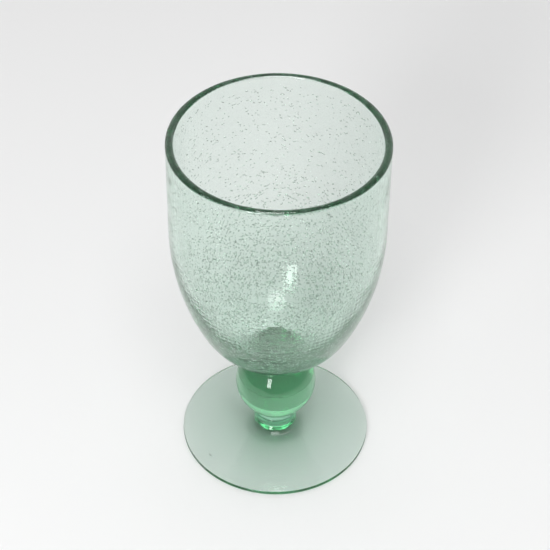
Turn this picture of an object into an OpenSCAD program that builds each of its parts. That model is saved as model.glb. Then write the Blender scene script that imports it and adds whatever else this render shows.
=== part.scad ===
// Hand-blown wine glass: a seeded bowl on a solid ball knop, a short collar and a spread foot.
// Millimetres, +Z up. The origin is the centre of the foot's resting plane.

/* [Overall] */
// Height from the table to the top of the rim
glass_height = 160; // [140:1:192]
// Diameter over the outside of the rim
rim_diameter = 87.4; // [72:0.2:105]
// Diameter of the foot
foot_diameter = 80.4; // [66:0.2:97]

/* [Bowl] */
// Thickness of the wall in the upright side and at the rim
wall = 3.2; // [2.2:0.1:4.2]
// How much smaller the radius of the rounded base is than the radius of the rim
base_inset = 7.7; // [6:0.1:10]
// Height from the underside of the bowl to where its side turns upright
belly_height = 70; // [56:1:85]
// Thickness of the glass in the middle of the base
base_thickness = 6.5; // [5:0.5:8]
// Height of the melted joint between the ball and the underside of the bowl
joint_height = 1.3; // [1:0.1:2]
// Width of the small slope where the melted joint runs into the bowl
joint_flare = 1.2; // [0.8:0.1:1.6]

/* [Knop] */
// Diameter of the solid ball
knop_diameter = 34.2; // [28:0.2:41]
// Radius of the flat on top of the ball where the bowl is stuck on
bowl_seat_r = 7; // [5.5:0.1:8.5]

/* [Collar] */
// Height of the collar between the foot and the ball
collar_height = 6.9; // [5.7:0.1:8.3]
// Radius of the two flat ends of the collar
collar_seat_r = 8.4; // [7:0.1:10.2]
// How far the rounded side of the collar swells past its ends
collar_swell = 1; // [0.7:0.1:1.3]

/* [Foot] */
// Height of the foot at its middle, where the collar stands
foot_height = 8; // [6.8:0.1:9.6]
// Thickness of the outer edge
foot_edge = 1.8; // [1.5:0.1:2.2]
// Radius of the two melted corners of the outer edge
foot_corner = 0.5; // [0.3:0.1:0.7]
// Slope of the upper side of the foot, in degrees
foot_slope = 6; // [4:0.5:7]
// Radius of the hollow curve that sweeps up to the collar
sweep_r = 9; // [7:0.5:11]
// Width of the flat ring that the glass stands on
rest_width = 4; // [3:0.5:5]
// Height of the shallow hollow under the middle of the foot
hollow_height = 1.2; // [0.8:0.1:1.5]

/* [Hidden] */
$fn = 180;

// Points on an arc of radius r about centre, from one angle to another, both ends included
function arc(centre, r, from, to, steps) =
    [for (i = [0:steps])
        let (a = from + (to - from) * i / steps)
        centre + r * [cos(a), sin(a)]];

// Radius of a side arc that leaves a base sphere smoothly and stands upright at the rim's radius
function side_arc_r(at_rim, at_base, rise) =
    (at_rim * at_rim + rise * rise - at_base * at_base) / (2 * (at_rim - at_base));

// Radius of the circle through the middle and the ends of a shallow swell
function swell_r(half_width, swell) =
    (half_width * half_width + swell * swell) / (2 * swell);

// Each piece stands on the one below
collar_top = foot_height + collar_height;
knop_r = knop_diameter / 2;
knop_z = collar_top + sqrt(knop_r * knop_r - collar_seat_r * collar_seat_r);
knop_top = knop_z + sqrt(knop_r * knop_r - bowl_seat_r * bowl_seat_r);
bowl_z = knop_top + joint_height;
belly_z = bowl_z + belly_height;

// Outside of the bowl: a base sphere, a side arc, then upright to the rim
rim_r = rim_diameter / 2;
base_r = rim_r - base_inset;
base_z = bowl_z + base_r;
side_r = side_arc_r(rim_r, base_r, belly_z - base_z);
side_start = -atan2(belly_z - base_z, side_r - rim_r);
lip_r = wall / 2;

// Inside of the bowl: the same three stretches, one wall further in and raised on the thick base
cavity_rim_r = rim_r - wall;
cavity_base_r = base_r - wall;
cavity_base_z = bowl_z + base_thickness + cavity_base_r;
cavity_side_r = side_arc_r(cavity_rim_r, cavity_base_r, belly_z - cavity_base_z);
cavity_side_start = -atan2(belly_z - cavity_base_z, cavity_side_r - cavity_rim_r);

// Side of the collar
collar_side_r = swell_r(collar_height / 2, collar_swell);
collar_side_half = asin(collar_height / 2 / collar_side_r);

// Top of the foot: the slope leaves the upper corner of the edge at slope_start, and the
// hollow curve touches the slope and ends at the collar
foot_r = foot_diameter / 2;
rest_r = foot_r - foot_corner;
slope_in = [-cos(foot_slope), sin(foot_slope)];
slope_up = [sin(foot_slope), cos(foot_slope)];
slope_start = [rest_r, foot_edge - foot_corner] + foot_corner * slope_up;
collar_seat = [collar_seat_r, foot_height];
seat_rise = (collar_seat - slope_start) * slope_up;
seat_run = (collar_seat - slope_start) * slope_in;
slope_length = seat_run - sqrt(2 * sweep_r * seat_rise - seat_rise * seat_rise);
sweep_centre = slope_start + slope_length * slope_in + sweep_r * slope_up;
sweep_end = atan2(collar_seat.y - sweep_centre.y, collar_seat.x - sweep_centre.x);

// Underside of the foot: a shallow hollow inside the flat ring
hollow_r = rest_r - rest_width;
hollow_arc_r = swell_r(hollow_r, hollow_height);
hollow_centre = [0, hollow_height - hollow_arc_r];

module bowl() {
    color("#a9cbb6")
        rotate_extrude()
            polygon(concat(
                [[0, knop_top], [bowl_seat_r, knop_top]],
                arc([0, base_z], base_r, -acos((bowl_seat_r + joint_flare) / base_r), side_start, 28),
                arc([rim_r - side_r, belly_z], side_r, side_start, 0, 16),
                arc([rim_r - lip_r, glass_height - lip_r], lip_r, 0, 180, 12),
                arc([cavity_rim_r - cavity_side_r, belly_z], cavity_side_r, 0, cavity_side_start, 16),
                arc([0, cavity_base_z], cavity_base_r, cavity_side_start, -90, 28)
            ));
}

module knop() {
    color("#5a9a6e")
        intersection() {
            translate([0, 0, knop_z])
                sphere(r = knop_r);
            translate([0, 0, collar_top])
                cylinder(h = knop_top - collar_top, r = knop_diameter);
        }
}

module collar() {
    color("#6aa885")
        rotate_extrude()
            polygon(concat(
                [[0, foot_height]],
                arc([collar_seat_r + collar_swell - collar_side_r, foot_height + collar_height / 2],
                    collar_side_r, -collar_side_half, collar_side_half, 12),
                [[0, collar_top]]
            ));
}

module foot() {
    color("#b2ccc0")
        rotate_extrude()
            polygon(concat(
                arc(hollow_centre, hollow_arc_r, 90, acos(hollow_r / hollow_arc_r), 12),
                arc([rest_r, foot_corner], foot_corner, -90, 0, 8),
                arc([rest_r, foot_edge - foot_corner], foot_corner, 0, 90 - foot_slope, 8),
                arc(sweep_centre, sweep_r, -90 - foot_slope, sweep_end, 12),
                [[0, foot_height]]
            ));
}

bowl();
knop();
collar();
foot();
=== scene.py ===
# %% [markdown]
# # A seeded wine glass, made the way a glassblower builds it
# The glass is four gathers of hot glass melted onto each other: a spread foot, a short collar,
# a solid ball knop and a blown bowl that is full of tiny trapped bubbles, called seeds.
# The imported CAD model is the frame: it fixes every height and radius. This script gives each
# piece its finished surface and its glass, and leaves the sizes alone.

# %% Load the frame
import math

import bmesh
import bpy
import numpy as np
from mathutils import Matrix, Vector


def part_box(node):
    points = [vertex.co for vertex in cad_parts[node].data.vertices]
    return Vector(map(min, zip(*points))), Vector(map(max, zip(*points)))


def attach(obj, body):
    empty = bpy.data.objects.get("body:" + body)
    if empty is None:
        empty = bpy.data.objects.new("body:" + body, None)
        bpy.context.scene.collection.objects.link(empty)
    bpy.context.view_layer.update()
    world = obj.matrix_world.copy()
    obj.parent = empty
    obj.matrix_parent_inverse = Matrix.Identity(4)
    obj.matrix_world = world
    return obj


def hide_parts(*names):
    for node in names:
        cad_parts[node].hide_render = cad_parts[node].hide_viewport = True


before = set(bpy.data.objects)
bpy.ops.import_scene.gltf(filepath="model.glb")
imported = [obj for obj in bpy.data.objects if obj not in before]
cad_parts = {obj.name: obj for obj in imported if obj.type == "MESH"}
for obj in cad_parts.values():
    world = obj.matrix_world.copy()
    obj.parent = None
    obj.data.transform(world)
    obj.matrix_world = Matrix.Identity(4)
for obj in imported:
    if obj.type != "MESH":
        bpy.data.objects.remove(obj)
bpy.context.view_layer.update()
MM = 0.001

# %% [markdown]
# ## The camera
# A long lens about three quarters of a metre away looks down on the glass at 42.5 degrees. From
# there the rim opens into a wide oval and the foot spreads out below the ball. A long lens keeps
# the upright sides almost parallel. The camera is a whisker left of the axis and leans by less
# than a degree, as a hand-set camera does.

# %% Set the camera
LENS = 119.6
SENSOR_WIDTH = 36
CAMERA_DISTANCE = 744.6 * MM
CAMERA_ELEVATION = math.radians(42.51)
CAMERA_LEAN = math.radians(0.728)
LOOK_AT = Vector((-0.9 * MM, 0, 89.7 * MM))


def set_camera():
    data = bpy.data.cameras.new("studio_camera")
    data.lens = LENS
    data.sensor_width = SENSOR_WIDTH
    camera = bpy.data.objects.new("studio_camera", data)
    bpy.context.scene.collection.objects.link(camera)
    back = Vector((0, -math.cos(CAMERA_ELEVATION), math.sin(CAMERA_ELEVATION)))
    tilt = Matrix.Rotation(math.pi / 2 - CAMERA_ELEVATION, 4, "X")
    lean = Matrix.Rotation(CAMERA_LEAN, 4, "Z")
    camera.matrix_world = Matrix.Translation(LOOK_AT + back * CAMERA_DISTANCE) @ tilt @ lean
    bpy.context.scene.camera = camera
    return camera


print("camera at", [round(v, 3) for v in set_camera().location])

# %% [markdown]
# ## The studio
# Glass has almost no look of its own: it shows what stands around it. So the room is plain but
# not even. The floor is white paper and the backdrop behind the glass is bright, while the two
# sides and the space behind the camera fall off to grey. Those greys draw the dark edges of the
# ball, the foot and the lip: a round edge of glass bends the view sideways, away from the
# backdrop and into the grey.

# %% Build the floor and the soft tent
FLOOR_HALF = 3.0
FLOOR_DROP = 0.1 * MM
FLOOR_WHITE = 0.9
BACKDROP_HORIZON = 1.35
BACKDROP_TOP = 0.85
SIDES_HORIZON = 0.15
SIDES_TOP = 0.6
BACKDROP_EDGE = 0.1
BACKDROP_FULL = 0.7
RAMP_END = 0.8


def studio_floor():
    mesh = bpy.data.meshes.new("studio_floor")
    signs = ((-1, -1), (1, -1), (1, 1), (-1, 1))
    corners = [(x * FLOOR_HALF, y * FLOOR_HALF, -FLOOR_DROP) for x, y in signs]
    mesh.from_pydata(corners, [], [(0, 1, 2, 3)])
    material = bpy.data.materials.new("white_paper")
    material.use_nodes = True
    paper = material.node_tree.nodes["Principled BSDF"]
    paper.inputs["Base Color"].default_value = (FLOOR_WHITE, FLOOR_WHITE, FLOOR_WHITE, 1)
    paper.inputs["Roughness"].default_value = 0.9
    paper.inputs["Specular IOR Level"].default_value = 0.0
    mesh.materials.append(material)
    floor = bpy.data.objects.new("studio_floor", mesh)
    bpy.context.scene.collection.objects.link(floor)
    return floor


def grey_ramp(tree, factor, low, high, high_at):
    """A run of greys from low, at 0, to high, at high_at."""
    ramp = tree.nodes.new("ShaderNodeValToRGB")
    tree.links.new(factor, ramp.inputs["Fac"])
    ramp.color_ramp.elements[0].position = 0.0
    ramp.color_ramp.elements[0].color = (low, low, low, 1)
    ramp.color_ramp.elements[1].position = high_at
    ramp.color_ramp.elements[1].color = (high, high, high, 1)
    return ramp.outputs["Color"]


def studio_tent():
    """A soft surround that is bright behind the glass and grey at the sides and in front."""
    world = bpy.data.worlds.new("soft_tent")
    bpy.context.scene.world = world
    world.use_nodes = True
    tree = world.node_tree
    place = tree.nodes.new("ShaderNodeTexCoord")
    split = tree.nodes.new("ShaderNodeSeparateXYZ")
    tree.links.new(place.outputs["Generated"], split.inputs[0])
    sides = grey_ramp(tree, split.outputs["Z"], SIDES_HORIZON, SIDES_TOP, RAMP_END)
    backdrop = grey_ramp(tree, split.outputs["Z"], BACKDROP_HORIZON, BACKDROP_TOP, RAMP_END)
    behind = tree.nodes.new("ShaderNodeMapRange")
    behind.interpolation_type = "SMOOTHSTEP"
    behind.inputs["From Min"].default_value = BACKDROP_EDGE
    behind.inputs["From Max"].default_value = BACKDROP_FULL
    tree.links.new(split.outputs["Y"], behind.inputs["Value"])
    blend = tree.nodes.new("ShaderNodeMix")
    blend.data_type = "RGBA"
    tree.links.new(behind.outputs["Result"], blend.inputs["Factor"])
    tree.links.new(sides, blend.inputs["A"])
    tree.links.new(backdrop, blend.inputs["B"])
    tree.links.new(blend.outputs["Result"], tree.nodes["Background"].inputs["Color"])


studio_floor()
studio_tent()
print("backdrop brightness", BACKDROP_HORIZON, "sides", SIDES_HORIZON)

# %% [markdown]
# ## The lamps
# Three soft lamps. The tall key softbox stands in front, a little to the left, and makes the
# upright highlight on the ball and the longer one low in the bowl. The overhead one brightens
# the paper around the foot. A small, weak one hangs high up behind, for a trace of light there.

# %% Hang the lamps
KEY_PLACE = (-0.43, -1.11, 0.64)
KEY_SIZE = (0.3, 0.66)
KEY_POWER = 7.5
OVERHEAD_PLACE = (0, -0.4, 0.9)
OVERHEAD_SIZE = (0.35, 0.35)
OVERHEAD_POWER = 2.3
CEILING_PLACE = (0.02, 0.74, 1.31)
CEILING_SIZE = (0.06, 0.06)
CEILING_POWER = 0.09


def softbox(name, where, aim, size, power):
    """A soft lamp, width and height in size, that hangs at where and faces aim."""
    light = bpy.data.lights.new(name, "AREA")
    light.shape = "RECTANGLE"
    light.size = size[0]
    light.size_y = size[1]
    light.energy = power
    lamp = bpy.data.objects.new(name, light)
    bpy.context.scene.collection.objects.link(lamp)
    lamp.location = where
    lamp.rotation_mode = "QUATERNION"
    lamp.rotation_quaternion = (Vector(aim) - Vector(where)).to_track_quat("-Z", "Y")
    return lamp


softbox("key_softbox", KEY_PLACE, (0, 0, 0.06), KEY_SIZE, KEY_POWER)
softbox("overhead_softbox", OVERHEAD_PLACE, (0, 0, 0.02), OVERHEAD_SIZE, OVERHEAD_POWER)
softbox("ceiling_lamp", CEILING_PLACE, (0, 0, 0.01), CEILING_SIZE, CEILING_POWER)

# %% [markdown]
# ## How far light may travel
# In the wall of a glass, light can bounce along for a long way before it gets out, above all in
# the lip and the edge of the foot. With the usual dozen bounces those edges come out black, so
# the path may be much longer here. The plain colour view keeps the white paper white.

# %% Set the light paths
scene = bpy.context.scene
scene.view_settings.view_transform = "Standard"
scene.cycles.use_denoising = True
scene.cycles.max_bounces = 40
scene.cycles.transmission_bounces = 40
scene.cycles.glossy_bounces = 24
scene.cycles.diffuse_bounces = 4
scene.cycles.blur_glossy = 0.3
scene.cycles.sample_clamp_indirect = 12
print("bounces through glass:", scene.cycles.transmission_bounces)

# %% [markdown]
# ## The glass itself
# Recycled bottle glass is clear at the surface and green all through: iron in the melt takes red
# and blue out of the light, so a thick part is greener than a thin one. Paint on the surface
# can't do that, so the colour is put inside, as absorption, and the surface stays colourless.
# Each gather comes from its own dip into the pot, so each has its own melt: the ball's is the
# deepest, the collar's a shade duller, and the bowl's and the foot's are paler. The first number
# of a melt says how much red gets through, then green, then blue; the density says how fast.

# %% Mix the glass
GLASS_IOR = 1.5
BOWL_PASSES = (0.11, 0.58, 0.33, 1)
BOWL_GREEN = 46.0
KNOP_PASSES = (0.11, 0.61, 0.31, 1)
KNOP_GREEN = 65.0
COLLAR_PASSES = (0.11, 0.46, 0.34, 1)
COLLAR_GREEN = 70.0
FOOT_PASSES = (0.11, 0.66, 0.36, 1)
FOOT_GREEN = 53.0


def green_glass(name, passes, density):
    """Clear glass whose inside takes out whatever colour passes lacks."""
    material = bpy.data.materials.new(name)
    material.use_nodes = True
    nodes = material.node_tree.nodes
    links = material.node_tree.links
    surface = nodes["Principled BSDF"]
    surface.inputs["Base Color"].default_value = (1, 1, 1, 1)
    surface.inputs["Roughness"].default_value = 0.0
    surface.inputs["IOR"].default_value = GLASS_IOR
    surface.inputs["Transmission Weight"].default_value = 1.0
    inside = nodes.new("ShaderNodeVolumeAbsorption")
    inside.inputs["Color"].default_value = passes
    inside.inputs["Density"].default_value = density
    links.new(inside.outputs["Volume"], nodes["Material Output"].inputs["Volume"])
    return material


seeded_glass = green_glass("seeded_green_glass", BOWL_PASSES, BOWL_GREEN)
knop_green_glass = green_glass("deep_green_glass", KNOP_PASSES, KNOP_GREEN)
collar_green_glass = green_glass("collar_green_glass", COLLAR_PASSES, COLLAR_GREEN)
foot_green_glass = green_glass("pale_green_glass", FOOT_PASSES, FOOT_GREEN)
melts = (seeded_glass, knop_green_glass, collar_green_glass, foot_green_glass)
print("melts:", [melt.name for melt in melts])

# %% [markdown]
# ## Outlines
# Every piece is round, so an outline turned about the axis gives its shape. The outline is a
# list of points: radius, height. Its curves are arcs, worked out from the sizes of the piece.
# The heights and the outer radii come from the boxes of the framed parts; the sizes that a box
# can't tell, such as the thickness of the wall, stand below.

# %% Sizes taken from the frame, and the arcs they give
WALL = 3.2 * MM
BASE_INSET = 7.7 * MM
BELLY_HEIGHT = 70 * MM
BASE_THICKNESS = 6.5 * MM
JOINT_HEIGHT = 1.3 * MM
JOINT_FLARE = 1.2 * MM
KNOP_R = 17.1 * MM
BOWL_SEAT_R = 7 * MM
COLLAR_SEAT_R = 8.4 * MM
COLLAR_SWELL = 1.0 * MM
FOOT_EDGE = 1.8 * MM
FOOT_CORNER = 0.5 * MM
FOOT_SLOPE = math.radians(6)
SWEEP_R = 9 * MM
REST_WIDTH = 4 * MM
HOLLOW_HEIGHT = 1.2 * MM
MELT = 0.01 * MM

bowl_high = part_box("bowl")[1]
foot_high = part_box("foot")[1]
RIM_R = bowl_high.x
GLASS_HEIGHT = bowl_high.z
FOOT_R = foot_high.x
FOOT_HEIGHT = foot_high.z
COLLAR_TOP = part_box("collar")[1].z
KNOP_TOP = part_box("knop")[1].z
print("rim radius, foot radius:", round(RIM_R / MM, 2), round(FOOT_R / MM, 2))


def arc(centre, r, start, end, steps):
    """Points on an arc, both ends included; angles in radians."""
    turn = np.linspace(start, end, steps + 1)
    return [(centre[0] + r * math.cos(a), centre[1] + r * math.sin(a)) for a in turn]


def side_arc_r(at_rim, at_base, rise):
    """Radius of the side arc that leaves a base sphere smoothly and ends upright."""
    return (at_rim ** 2 + rise ** 2 - at_base ** 2) / (2 * (at_rim - at_base))


def bowl_side(rim_r, base_r, base_z, belly_z):
    """The centre, radius and starting angle of the side arc of the bowl or its cavity."""
    side_r = side_arc_r(rim_r, base_r, belly_z - base_z)
    return (rim_r - side_r, belly_z), side_r, -math.atan2(belly_z - base_z, side_r - rim_r)

# %% [markdown]
# ## Turning an outline
# All four pieces follow one rule: take the outline, carry it once round the axis. A Screw
# modifier could do it, but a Geometry Nodes tree also lets each point of the outline carry its
# own facts along: how much the hand-worked surface may ripple there, how thick the wall is and
# how crowded its bubbles are.
# The tree lays out a flat grid, one row for each step round and one column for each outline
# point, bends it into place, closes the seam, and then lets the surface ripple a little.

# %% Small helpers that add nodes to a tree
def start_tree(name, inputs):
    tree = bpy.data.node_groups.new(name, "GeometryNodeTree")
    face = tree.interface
    face.new_socket("Geometry", in_out="INPUT", socket_type="NodeSocketGeometry")
    for label, kind in inputs:
        face.new_socket(label, in_out="INPUT", socket_type=kind)
    face.new_socket("Geometry", in_out="OUTPUT", socket_type="NodeSocketGeometry")
    return tree, tree.nodes.new("NodeGroupInput"), tree.nodes.new("NodeGroupOutput")


def add_node(tree, kind, sockets, **settings):
    """Adds a node, sets its properties, and sets or links each named or numbered input."""
    node = tree.nodes.new(kind)
    for key, value in settings.items():
        setattr(node, key, value)
    for key, value in sockets.items():
        if isinstance(value, bpy.types.NodeSocket):
            tree.links.new(value, node.inputs[key])
        else:
            node.inputs[key].default_value = value
    return node


def sums(tree, operation, *values):
    """A Math node; its result is the output."""
    node = add_node(tree, "ShaderNodeMath", dict(enumerate(values)), operation=operation)
    return node.outputs[0]


def vector_sums(tree, operation, *values):
    """A Vector Math node; its result is the output."""
    node = add_node(tree, "ShaderNodeVectorMath", dict(enumerate(values)), operation=operation)
    return node.outputs["Vector"]


def scaled(tree, vector, factor):
    """A vector made longer or shorter by a factor."""
    node = add_node(tree, "ShaderNodeVectorMath", {0: vector, "Scale": factor}, operation="SCALE")
    return node.outputs["Vector"]


def carried(tree, name):
    """Reads a number that every point carries."""
    node = add_node(tree, "GeometryNodeInputNamedAttribute", {"Name": name}, data_type="FLOAT")
    return node.outputs["Attribute"]


def random_between(tree, low, high, seed):
    """A random number for each point; another seed gives another set."""
    node = add_node(tree, "FunctionNodeRandomValue", {2: low, 3: high, "Seed": seed}, data_type="FLOAT")
    return node.outputs[1]


# %% [markdown]
# ## The turning tree
# Reading down: the grid is laid out, each grid point looks up its outline point and is turned to
# its own angle, the facts are copied over, and the seam and the ends on the axis are merged.
# Then a soft noise moves the skin inward by a tenth of a millimetre. It is a noise of four
# dimensions, so that another seed gives another ripple. Only the sharp bends stay sharp.

# %% Build the turning tree
SEAM_GAP = 0.002 * MM
SHARP_BEND = math.radians(35)


def turning_tree():
    """Builds the tree that carries an outline round the axis."""
    tree, given, result = start_tree("turned_glass", [
        ("Steps round", "NodeSocketInt"), ("Ripple height", "NodeSocketFloat"),
        ("Ripple spacing", "NodeSocketVector"), ("Seed", "NodeSocketFloat"),
        ("Glass", "NodeSocketMaterial")])
    outline = given.outputs["Geometry"]
    size = add_node(tree, "GeometryNodeAttributeDomainSize", {"Geometry": outline})
    count = size.outputs["Point Count"]
    steps = given.outputs["Steps round"]
    grid = add_node(tree, "GeometryNodeMeshGrid", {
        "Size X": 1.0, "Size Y": 1.0, "Vertices X": sums(tree, "ADD", steps, 1.0), "Vertices Y": count})
    index = tree.nodes.new("GeometryNodeInputIndex").outputs[0]
    along = sums(tree, "FLOORED_MODULO", index, count)
    around = sums(tree, "FLOOR", sums(tree, "DIVIDE", index, count))
    angle = sums(tree, "MULTIPLY", sums(tree, "DIVIDE", around, steps), math.tau)
    place = tree.nodes.new("GeometryNodeInputPosition").outputs[0]
    point = add_node(tree, "GeometryNodeSampleIndex", {
        "Geometry": outline, "Value": place, "Index": along}, data_type="FLOAT_VECTOR")
    point = add_node(tree, "ShaderNodeSeparateXYZ", {0: point.outputs[0]})
    turned = add_node(tree, "ShaderNodeCombineXYZ", {
        "X": sums(tree, "MULTIPLY", point.outputs["X"], sums(tree, "COSINE", angle)),
        "Y": sums(tree, "MULTIPLY", point.outputs["X"], sums(tree, "SINE", angle)),
        "Z": point.outputs["Z"]})
    flow = grid.outputs["Mesh"]
    for name in ("ripple", "half_wall", "crowd"):
        fact = add_node(tree, "GeometryNodeSampleIndex", {
            "Geometry": outline, "Value": carried(tree, name), "Index": along}, data_type="FLOAT")
        flow = add_node(tree, "GeometryNodeStoreNamedAttribute", {
            "Geometry": flow, "Name": name, "Value": fact.outputs[0]},
            data_type="FLOAT", domain="POINT").outputs[0]
    flow = add_node(tree, "GeometryNodeSetPosition", {
        "Geometry": flow, "Position": turned.outputs[0]}).outputs[0]
    flow = add_node(tree, "GeometryNodeMergeByDistance", {
        "Geometry": flow, "Distance": SEAM_GAP}).outputs[0]
    spread = vector_sums(tree, "DIVIDE", place, given.outputs["Ripple spacing"])
    noise = add_node(tree, "ShaderNodeTexNoise", {
        "Vector": spread, "W": given.outputs["Seed"], "Scale": 1.0, "Detail": 1.0},
        noise_dimensions="4D").outputs[0]
    depth = sums(tree, "MULTIPLY", sums(tree, "SUBTRACT", noise, 1.0), given.outputs["Ripple height"])
    depth = sums(tree, "MULTIPLY", depth, carried(tree, "ripple"))
    normal = tree.nodes.new("GeometryNodeInputNormal").outputs[0]
    flow = add_node(tree, "GeometryNodeSetPosition", {
        "Geometry": flow, "Offset": scaled(tree, normal, depth)}).outputs[0]
    bend = tree.nodes.new("GeometryNodeInputMeshEdgeAngle").outputs["Unsigned Angle"]
    crisp = sums(tree, "GREATER_THAN", bend, SHARP_BEND)
    flow = add_node(tree, "GeometryNodeSetShadeSmooth", {
        "Geometry": flow, "Selection": crisp, "Shade Smooth": False}, domain="EDGE").outputs[0]
    flow = add_node(tree, "GeometryNodeRealizeInstances", {"Geometry": flow}).outputs[0]
    flow = add_node(tree, "GeometryNodeSetMaterial", {
        "Geometry": flow, "Material": given.outputs["Glass"]}).outputs[0]
    tree.links.new(flow, result.inputs[0])
    return tree


TURNING = turning_tree()
print("turning tree:", len(TURNING.nodes), "nodes")

# %% [markdown]
# ## Running a tree on a piece
# A piece starts as a bare outline. The tree is put on it, its inputs are set, and the result is
# kept as a plain mesh, so that nothing has to be worked out again later. The report counts the
# open edges: glass must be a closed skin, or light can't tell its inside from its outside.

# %% Run a tree and keep the plain mesh
def finished(piece, tree, inputs):
    """Evaluates the tree on the piece, swaps the result in as a plain mesh, drops the modifier."""
    modifier = piece.modifiers.new(tree.name, "NODES")
    modifier.node_group = tree
    sockets = {s.name: s.identifier for s in tree.interface.items_tree if s.in_out == "INPUT"}
    for label, value in inputs.items():
        modifier[sockets[label]] = value
    piece.update_tag()
    bpy.context.view_layer.update()
    seen = piece.evaluated_get(bpy.context.evaluated_depsgraph_get())
    mesh = bpy.data.meshes.new_from_object(seen)
    piece.modifiers.clear()
    outline = piece.data
    piece.data = mesh
    mesh.name = piece.name
    bpy.data.meshes.remove(outline)
    return piece


def outline_piece(name, points, ripple, half_wall=None, crowd=None):
    """An object that holds an outline: a chain of points, each with what it carries."""
    mesh = bpy.data.meshes.new(name + "_outline")
    corners = [(r, 0, z) for r, z in points]
    mesh.from_pydata(corners, [(i, i + 1) for i in range(len(corners) - 1)], [])
    facts = {"ripple": ripple, "half_wall": half_wall, "crowd": crowd}
    for label, values in facts.items():
        layer = mesh.attributes.new(label, "FLOAT", "POINT")
        layer.data.foreach_set("value", values if values is not None else [0.0] * len(corners))
    piece = bpy.data.objects.new(name, mesh)
    bpy.context.scene.collection.objects.link(piece)
    return piece


def smooth_inputs(glass, steps):
    """Inputs of the turning tree for a piece without ripples."""
    return {"Steps round": steps, "Ripple height": 0.0, "Ripple spacing": (1, 1, 1),
            "Seed": 0.0, "Glass": glass}


def report(piece):
    """Prints the size, the number of triangles and the volume of a piece."""
    bm = bmesh.new()
    bm.from_mesh(piece.data)
    triangles = sum(len(f.verts) - 2 for f in bm.faces)
    open_edges = sum(1 for e in bm.edges if not e.is_manifold)
    volume = bm.calc_volume(signed=True) / MM ** 3
    corners = np.array([v.co for v in bm.verts]) / MM
    bm.free()
    print(piece.name, "triangles", triangles, "open edges", open_edges, "volume mm3", round(volume, 1),
          "low", corners.min(axis=0).round(2), "high", corners.max(axis=0).round(2))


# %% [markdown]
# ## The bowl
# The bowl is blown: a bubble of air in a gather of glass, stretched until the wall is three
# millimetres thick, with the base left heavy. Its rim is cut and melted round in the fire. The
# outline goes up the outside, over the lip and down the inside, so one turn closes the skin.
# The hand-worked ripple is strongest in the side and fades out towards the thick base, where it
# would bend the light into rings. The arcs have many points there for the same reason.

# %% Outline of the bowl
bowl_z = KNOP_TOP + JOINT_HEIGHT
belly_z = bowl_z + BELLY_HEIGHT
base_r = RIM_R - BASE_INSET
base_z = bowl_z + base_r
side_centre, side_r, side_start = bowl_side(RIM_R, base_r, base_z, belly_z)
cavity_rim_r = RIM_R - WALL
cavity_base_r = base_r - WALL
cavity_base_z = bowl_z + BASE_THICKNESS + cavity_base_r
hollow_centre, hollow_side_r, hollow_start = bowl_side(
    cavity_rim_r, cavity_base_r, cavity_base_z, belly_z)
lip_r = WALL / 2
LIP_Z = GLASS_HEIGHT - lip_r
CALM_BELOW = 75 * MM
LEAST_RIPPLE = 0.08


def straight(start, end, steps):
    """Points between two points, without the ends."""
    share = np.linspace(0, 1, steps + 1)[1:-1]
    return [(start[0] + (end[0] - start[0]) * t, start[1] + (end[1] - start[1]) * t) for t in share]


def bowl_outline():
    """The outline of the bowl, and how much it may ripple at each point."""
    flare_r = BOWL_SEAT_R + JOINT_FLARE
    points = [(0, KNOP_TOP - MELT), (BOWL_SEAT_R, KNOP_TOP - MELT)]
    points += arc((0, base_z), base_r, -math.acos(flare_r / base_r), side_start, 48)
    points += arc(side_centre, side_r, side_start, 0, 20)[1:]
    points += straight((RIM_R, belly_z), (RIM_R, LIP_Z), 14)
    points += arc((RIM_R - lip_r, LIP_Z), lip_r, 0, math.pi, 14)
    points += straight((cavity_rim_r, LIP_Z), (cavity_rim_r, belly_z), 14)
    points += arc(hollow_centre, hollow_side_r, 0, hollow_start, 20)
    points += arc((0, cavity_base_z), cavity_base_r, hollow_start, -math.pi / 2, 48)[1:]
    points[-1] = (0, points[-1][1])
    ripple = [0.0 if z < bowl_z else min(1.0, LEAST_RIPPLE + (z - bowl_z) / CALM_BELOW)
              for r, z in points]
    return points, ripple


ROUND_STEPS = 128
points, ripple = bowl_outline()
bowl_glass = finished(outline_piece("bowl_glass", points, ripple), TURNING, {
    "Steps round": ROUND_STEPS, "Ripple height": 0.1 * MM,
    "Ripple spacing": (12 * MM, 12 * MM, 8 * MM), "Seed": 3.0, "Glass": seeded_glass})
report(bowl_glass)

# %% [markdown]
# ## The seeds
# Seeds are gas bubbles trapped in the melt and drawn out as the glass is blown and spun. Each
# one is a real cavity, so it is modelled as one: a tiny closed skin inside the wall, turned
# inside out so that the glass ends where the bubble starts. The seeds lie crowded in the thick
# base and thin out towards the rim. Scattering thousands by hand is out of the question, so a
# tree scatters points over the middle of the wall and sets a drawn-out bead on each. A bead lies
# along the turn of the glass and leans a little by chance, more where the seeds are crowded.

# %% Build the scattering tree
LEAN_APART = 0.4
LEAN_CROWDED = 1.0
SIZE_APART = 0.6
SIZE_CROWDED = 0.5
SHORTEST_SHARE = 0.25
FLATTENED = 0.7


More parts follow.
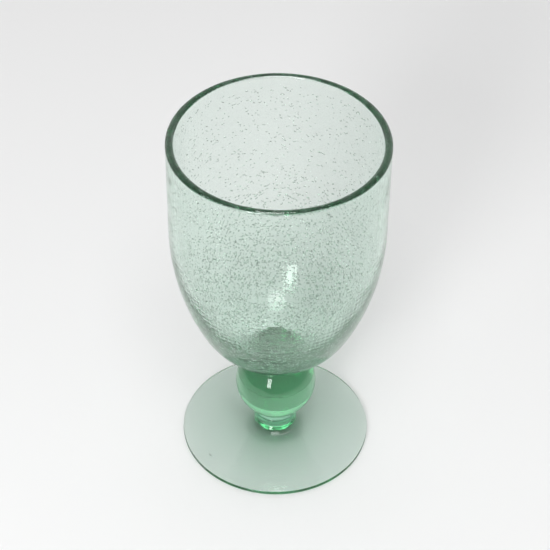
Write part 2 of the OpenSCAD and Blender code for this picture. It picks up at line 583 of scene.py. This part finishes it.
def seeding_tree():
    """Builds the tree that lays a drawn-out bead on scattered points of the wall."""
    tree, given, result = start_tree("trapped_seeds", [
        ("Most per area", "NodeSocketFloat"), ("Nearest", "NodeSocketFloat"),
        ("Length", "NodeSocketFloat"), ("Thickness", "NodeSocketFloat"),
        ("Skin", "NodeSocketFloat"), ("Seed", "NodeSocketInt"), ("Glass", "NodeSocketMaterial")])
    seed = given.outputs["Seed"]
    scatter = add_node(tree, "GeometryNodeDistributePointsOnFaces", {
        "Mesh": given.outputs["Geometry"], "Distance Min": given.outputs["Nearest"],
        "Density Max": given.outputs["Most per area"], "Density Factor": carried(tree, "crowd"),
        "Seed": seed}, distribute_method="POISSON")
    out = scatter.outputs["Normal"]
    place = tree.nodes.new("GeometryNodeInputPosition").outputs[0]
    round_the_axis = vector_sums(tree, "CROSS_PRODUCT", (0, 0, 1), place)
    turn = add_node(tree, "FunctionNodeAlignRotationToVector", {"Vector": round_the_axis}, axis="Z")
    turn = add_node(tree, "FunctionNodeAlignRotationToVector", {
        "Rotation": turn.outputs[0], "Vector": out}, axis="X", pivot_axis="Z")
    crowded = carried(tree, "crowd")
    sway = sums(tree, "MULTIPLY_ADD", crowded, LEAN_CROWDED, LEAN_APART)
    lean = add_node(tree, "FunctionNodeAxisAngleToRotation", {
        "Axis": (1, 0, 0), "Angle": sums(tree, "MULTIPLY", random_between(tree, -1.0, 1.0, 11), sway)})
    turn = add_node(tree, "FunctionNodeRotateRotation", {
        "Rotation": turn.outputs[0], "Rotate By": lean.outputs[0]}, rotation_space="LOCAL")
    chance = random_between(tree, 0.0, 1.0, 12)
    growth = sums(tree, "MULTIPLY_ADD", crowded, SIZE_CROWDED, SIZE_APART)
    drawn = sums(tree, "POWER", chance, 2.0)
    drawn = sums(tree, "MULTIPLY_ADD", drawn, 1 - SHORTEST_SHARE, SHORTEST_SHARE)
    drawn = sums(tree, "MULTIPLY", drawn, growth)
    long_half = sums(tree, "MULTIPLY", sums(tree, "MULTIPLY", drawn, given.outputs["Length"]), 0.5)
    fat_half = sums(tree, "MULTIPLY", random_between(tree, 0.25, 0.5, 13), given.outputs["Thickness"])
    fat_half = sums(tree, "MULTIPLY", fat_half, growth)
    size = add_node(tree, "ShaderNodeCombineXYZ", {
        "X": sums(tree, "MULTIPLY", fat_half, FLATTENED), "Y": fat_half,
        "Z": sums(tree, "MAXIMUM", long_half, fat_half)})
    room = sums(tree, "SUBTRACT", sums(tree, "SUBTRACT", carried(tree, "half_wall"),
                                       given.outputs["Skin"]), fat_half)
    room = sums(tree, "MAXIMUM", room, 0.0)
    deep = sums(tree, "MULTIPLY", room, random_between(tree, -1.0, 1.0, 14))
    points = add_node(tree, "GeometryNodeSetPosition", {
        "Geometry": scatter.outputs["Points"], "Offset": scaled(tree, out, deep)}).outputs[0]
    bead = add_node(tree, "GeometryNodeMeshUVSphere", {"Segments": 6, "Rings": 3, "Radius": 1.0})
    beads = add_node(tree, "GeometryNodeInstanceOnPoints", {
        "Points": points, "Instance": bead.outputs["Mesh"], "Rotation": turn.outputs[0],
        "Scale": size.outputs[0]}).outputs[0]
    flow = add_node(tree, "GeometryNodeRealizeInstances", {"Geometry": beads}).outputs[0]
    flow = add_node(tree, "GeometryNodeFlipFaces", {"Mesh": flow}).outputs[0]
    flow = add_node(tree, "GeometryNodeSetShadeSmooth", {"Geometry": flow}).outputs[0]
    flow = add_node(tree, "GeometryNodeSetMaterial", {
        "Geometry": flow, "Material": given.outputs["Glass"]}).outputs[0]
    tree.links.new(flow, result.inputs[0])
    return tree


SEEDING = seeding_tree()
print("scattering tree:", len(SEEDING.nodes), "nodes")

# %% [markdown]
# ## Laying the seeds
# The points are scattered on the middle of the wall, and each seed may then move outward or
# inward as far as the wall leaves room, less a thin skin of whole glass. The crowding is one
# number along the outline: full in the base, a third in the side, and rising again in the last
# millimetres under the lip, where the fire has drawn the seeds together.

# %% Lay the seeds in the wall
LEAST_CROWD = 0.3
CROWD_FROM = 115 * MM
CROWD_TO = 70 * MM
LIP_CROWD = 0.5
LIP_BAND = 6 * MM
LOWEST_SEEDS = -math.radians(86)
LAYER_STEPS = 96


def crowding(z):
    """Share of the seeds at this height: full in the base, least in the side, more at the lip."""
    base = min(1, max(0, (CROWD_FROM - z) / (CROWD_FROM - CROWD_TO)))
    lip = max(0, 1 - (LIP_Z - z) / LIP_BAND)
    return LEAST_CROWD + (1 - LEAST_CROWD) * base + LIP_CROWD * lip


def middle_of_wall():
    """The outline half way through the wall, with half the wall's thickness and the crowding."""
    outer = arc((0, base_z), base_r, LOWEST_SEEDS, side_start, 30)
    outer += arc(side_centre, side_r, side_start, 0, 24)[1:]
    outer += straight((RIM_R, belly_z), (RIM_R, LIP_Z), 10)
    inner = arc((0, cavity_base_z), cavity_base_r, LOWEST_SEEDS, hollow_start, 30)
    inner += arc(hollow_centre, hollow_side_r, hollow_start, 0, 24)[1:]
    inner += straight((cavity_rim_r, belly_z), (cavity_rim_r, LIP_Z), 10)
    points = [((a[0] + b[0]) / 2, (a[1] + b[1]) / 2) for a, b in zip(outer, inner)]
    half_wall = [math.dist(a, b) / 2 for a, b in zip(outer, inner)]
    return points, half_wall, [crowding(z) for r, z in points]


seed_points, half_wall, crowd = middle_of_wall()
seeds = outline_piece("seeds", seed_points, [0.0] * len(seed_points), half_wall, crowd)
finished(seeds, TURNING, smooth_inputs(seeded_glass, LAYER_STEPS))
finished(seeds, SEEDING, {
    "Most per area": 500000.0, "Nearest": 0.65 * MM, "Length": 2.4 * MM, "Thickness": 0.8 * MM,
    "Skin": 0.35 * MM, "Seed": 7, "Glass": seeded_glass})
report(seeds)


def melt_in(piece, other):
    """Joins the other mesh into the piece and removes the other object."""
    bm = bmesh.new()
    bm.from_mesh(piece.data)
    bm.from_mesh(other.data)
    bm.to_mesh(piece.data)
    bm.free()
    bpy.data.objects.remove(other)


melt_in(bowl_glass, seeds)
report(bowl_glass)

# %% [markdown]
# ## The ball and the collar
# The ball is solid, cut flat where it is stuck to the bowl and to the collar. It is the deepest
# green of the whole glass, because light crosses the most glass there. The collar is a short
# drum whose side swells a little. Each joint overlaps by a hundredth of a millimetre, so that
# no film of air is left between two pieces that are melted together.

# %% Ball and collar
SOLID_STEPS = 144
knop_z = COLLAR_TOP + math.sqrt(KNOP_R ** 2 - COLLAR_SEAT_R ** 2)


def knop_outline():
    """The side of the ball, between its two flats."""
    low = COLLAR_TOP - MELT
    high = KNOP_TOP + MELT
    start = math.asin((low - knop_z) / KNOP_R)
    end = math.asin((high - knop_z) / KNOP_R)
    side = arc((0, knop_z), KNOP_R, start, end, 72)
    return [(0, low)] + side + [(0, high)]


def collar_outline():
    """The side of the collar: one shallow swell."""
    height = COLLAR_TOP - FOOT_HEIGHT
    side_r = (height ** 2 / 4 + COLLAR_SWELL ** 2) / (2 * COLLAR_SWELL)
    half = math.asin(height / 2 / side_r)
    centre = (COLLAR_SEAT_R + COLLAR_SWELL - side_r, FOOT_HEIGHT + height / 2)
    side = arc(centre, side_r, -half, half, 24)
    side[0] = (side[0][0], side[0][1] - MELT)
    side[-1] = (side[-1][0], side[-1][1] + MELT)
    return [(0, FOOT_HEIGHT - MELT)] + side + [(0, COLLAR_TOP + MELT)]


knop_points = knop_outline()
knop_glass = outline_piece("knop_glass", knop_points, [0.0] * len(knop_points))
finished(knop_glass, TURNING, smooth_inputs(knop_green_glass, SOLID_STEPS))
report(knop_glass)
collar_points = collar_outline()
collar_glass = outline_piece("collar_glass", collar_points, [0.0] * len(collar_points))
finished(collar_glass, TURNING, smooth_inputs(collar_green_glass, SOLID_STEPS))
report(collar_glass)

# %% [markdown]
# ## The foot
# A gather is dropped on the collar, pressed flat and spun out. So its upper side slopes down
# gently to a thin edge, sweeps up to the collar, and keeps faint rings from the spinning. The
# edge has two small melted corners, and the underside is slightly hollow, so that the glass
# stands on a ring and doesn't rock.

# %% Foot
RING_HEIGHT = 0.05 * MM
RING_SPACING = 4.3 * MM
RINGS_FROM = 20 * MM
RINGS_TO = 38 * MM
FOOT_STEPS = 192


def spun_ring(r):
    """Height of the faint rings that spinning leaves on the foot; none at the edge or the collar."""
    across = min(1, max(0, (r - RINGS_FROM) / (RINGS_TO - RINGS_FROM)))
    fade = math.sin(math.pi * across)
    return RING_HEIGHT * fade * math.sin(math.tau * r / RING_SPACING)


def foot_outline():
    """The underside, the edge, the slope with its rings, and the curve up to the collar."""
    rest_r = FOOT_R - FOOT_CORNER
    upper = FOOT_EDGE - FOOT_CORNER
    inward = np.array((-math.cos(FOOT_SLOPE), math.sin(FOOT_SLOPE)))
    upward = np.array((math.sin(FOOT_SLOPE), math.cos(FOOT_SLOPE)))
    slope_start = np.array((rest_r, upper)) + FOOT_CORNER * upward
    seat = np.array((COLLAR_SEAT_R, FOOT_HEIGHT))
    rise = (seat - slope_start) @ upward
    run = (seat - slope_start) @ inward
    slope_length = run - math.sqrt(2 * SWEEP_R * rise - rise ** 2)
    sweep = slope_start + slope_length * inward + SWEEP_R * upward
    sweep_end = math.atan2(seat[1] - sweep[1], seat[0] - sweep[0])
    rest_in = rest_r - REST_WIDTH
    hollow_r = (rest_in ** 2 + HOLLOW_HEIGHT ** 2) / (2 * HOLLOW_HEIGHT)
    below = arc((0, HOLLOW_HEIGHT - hollow_r), hollow_r, math.pi / 2, math.acos(rest_in / hollow_r), 24)
    below[0] = (0, HOLLOW_HEIGHT)
    edge = arc((rest_r, FOOT_CORNER), FOOT_CORNER, -math.pi / 2, 0, 7)
    edge += straight(edge[-1], (FOOT_R, upper), 3)
    edge += arc((rest_r, upper), FOOT_CORNER, 0, math.pi / 2 - FOOT_SLOPE, 7)
    curve = arc(sweep, SWEEP_R, -math.pi / 2 - FOOT_SLOPE, sweep_end, 20)
    top = [(r, z + spun_ring(r)) for r, z in straight(edge[-1], curve[0], 40)]
    curve[-1] = (COLLAR_SEAT_R, FOOT_HEIGHT + MELT)
    points = below + edge + top + curve + [(0, FOOT_HEIGHT + MELT)]
    quiet = len(below) + len(edge)
    seat_points = 4
    last = len(points) - seat_points
    ripple = [1.0 if quiet < i < last else 0.0 for i in range(len(points))]
    return points, ripple


foot_points, foot_ripple = foot_outline()
foot_glass = finished(outline_piece("foot_glass", foot_points, foot_ripple), TURNING, {
    "Steps round": FOOT_STEPS, "Ripple height": 0.15 * MM,
    "Ripple spacing": (12 * MM, 12 * MM, 12 * MM), "Seed": 1.0, "Glass": foot_green_glass})
report(foot_glass)

# %% [markdown]
# ## Air lines in the foot
# Two bubbles are big enough to be seen one by one: a long curved line next to the collar, drawn
# out by the tool, and a short bead near the edge. Each is a real cavity, a tube of six sides that
# tapers to a point at both ends, with its skin facing into the air.

# %% Draw the air lines
TUBE_SIDES = 6


def air_line(piece, centres, thick):
    """Adds a closed, drawn-out cavity along the centres, thickest in the middle, to the piece."""
    bm = bmesh.new()
    bm.from_mesh(piece.data)
    centres = [Vector(c) for c in centres]
    last = len(centres) - 1
    rings = []
    for i, centre in enumerate(centres[1:-1], 1):
        ahead = (centres[i + 1] - centres[i - 1]).normalized()
        side = ahead.cross(Vector((0, 0, 1))).normalized()
        up = side.cross(ahead)
        r = thick / 2 * math.sqrt(math.sin(math.pi * i / last))
        rings.append([bm.verts.new(centre + r * (math.cos(a) * side + math.sin(a) * up))
                      for a in np.linspace(0, math.tau, TUBE_SIDES + 1)[:-1]])
    tips = [bm.verts.new(centres[0]), bm.verts.new(centres[-1])]
    faces = []
    for near, far in zip(rings, rings[1:]):
        faces += [(near[i - 1], near[i], far[i], far[i - 1]) for i in range(TUBE_SIDES)]
    faces += [(tips[0], rings[0][i], rings[0][i - 1]) for i in range(TUBE_SIDES)]
    faces += [(tips[1], rings[-1][i - 1], rings[-1][i]) for i in range(TUBE_SIDES)]
    made = [bm.faces.new(f) for f in faces]
    for face in made:
        face.smooth = True
    bm.normal_update()
    middle = made[len(made) // 2]
    nearest = min(centres, key=lambda c: (c - middle.calc_center_median()).length)
    if middle.normal.dot(middle.calc_center_median() - nearest) > 0:
        bmesh.ops.reverse_faces(bm, faces=made)
    bm.to_mesh(piece.data)
    bm.free()


def round_arc(r, z, start, end, steps):
    """Centres along a level arc about the axis."""
    turn = np.linspace(math.radians(start), math.radians(end), steps + 1)
    return [(r * math.cos(a), r * math.sin(a), z) for a in turn]


TOOL_MARK_THICK = 0.4 * MM
LONE_SEED_THICK = 0.7 * MM
air_line(foot_glass, round_arc(10.4 * MM, 5.0 * MM, -80, -42, 20), TOOL_MARK_THICK)
air_line(foot_glass, round_arc(33.9 * MM, 1.5 * MM, -146.5, -143, 6), LONE_SEED_THICK)
report(foot_glass)

# %% [markdown]
# ## Into the frame
# Each finished piece takes the place of its CAD part, which is hidden, and rides the root, since
# nothing on the glass moves. The slot meant for it, seeded glass for the bowl, clear glass for the
# rest, is only printed.

# %% Put every piece in the frame
for piece, node, slot in (
        (bowl_glass, "bowl", "seeded_glass"), (knop_glass, "knop", "clear_glass"),
        (collar_glass, "collar", "clear_glass"), (foot_glass, "foot", "clear_glass")):
    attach(piece, "root")
    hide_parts(node)
    print(piece.name, "replaces", node, "in the slot", slot)
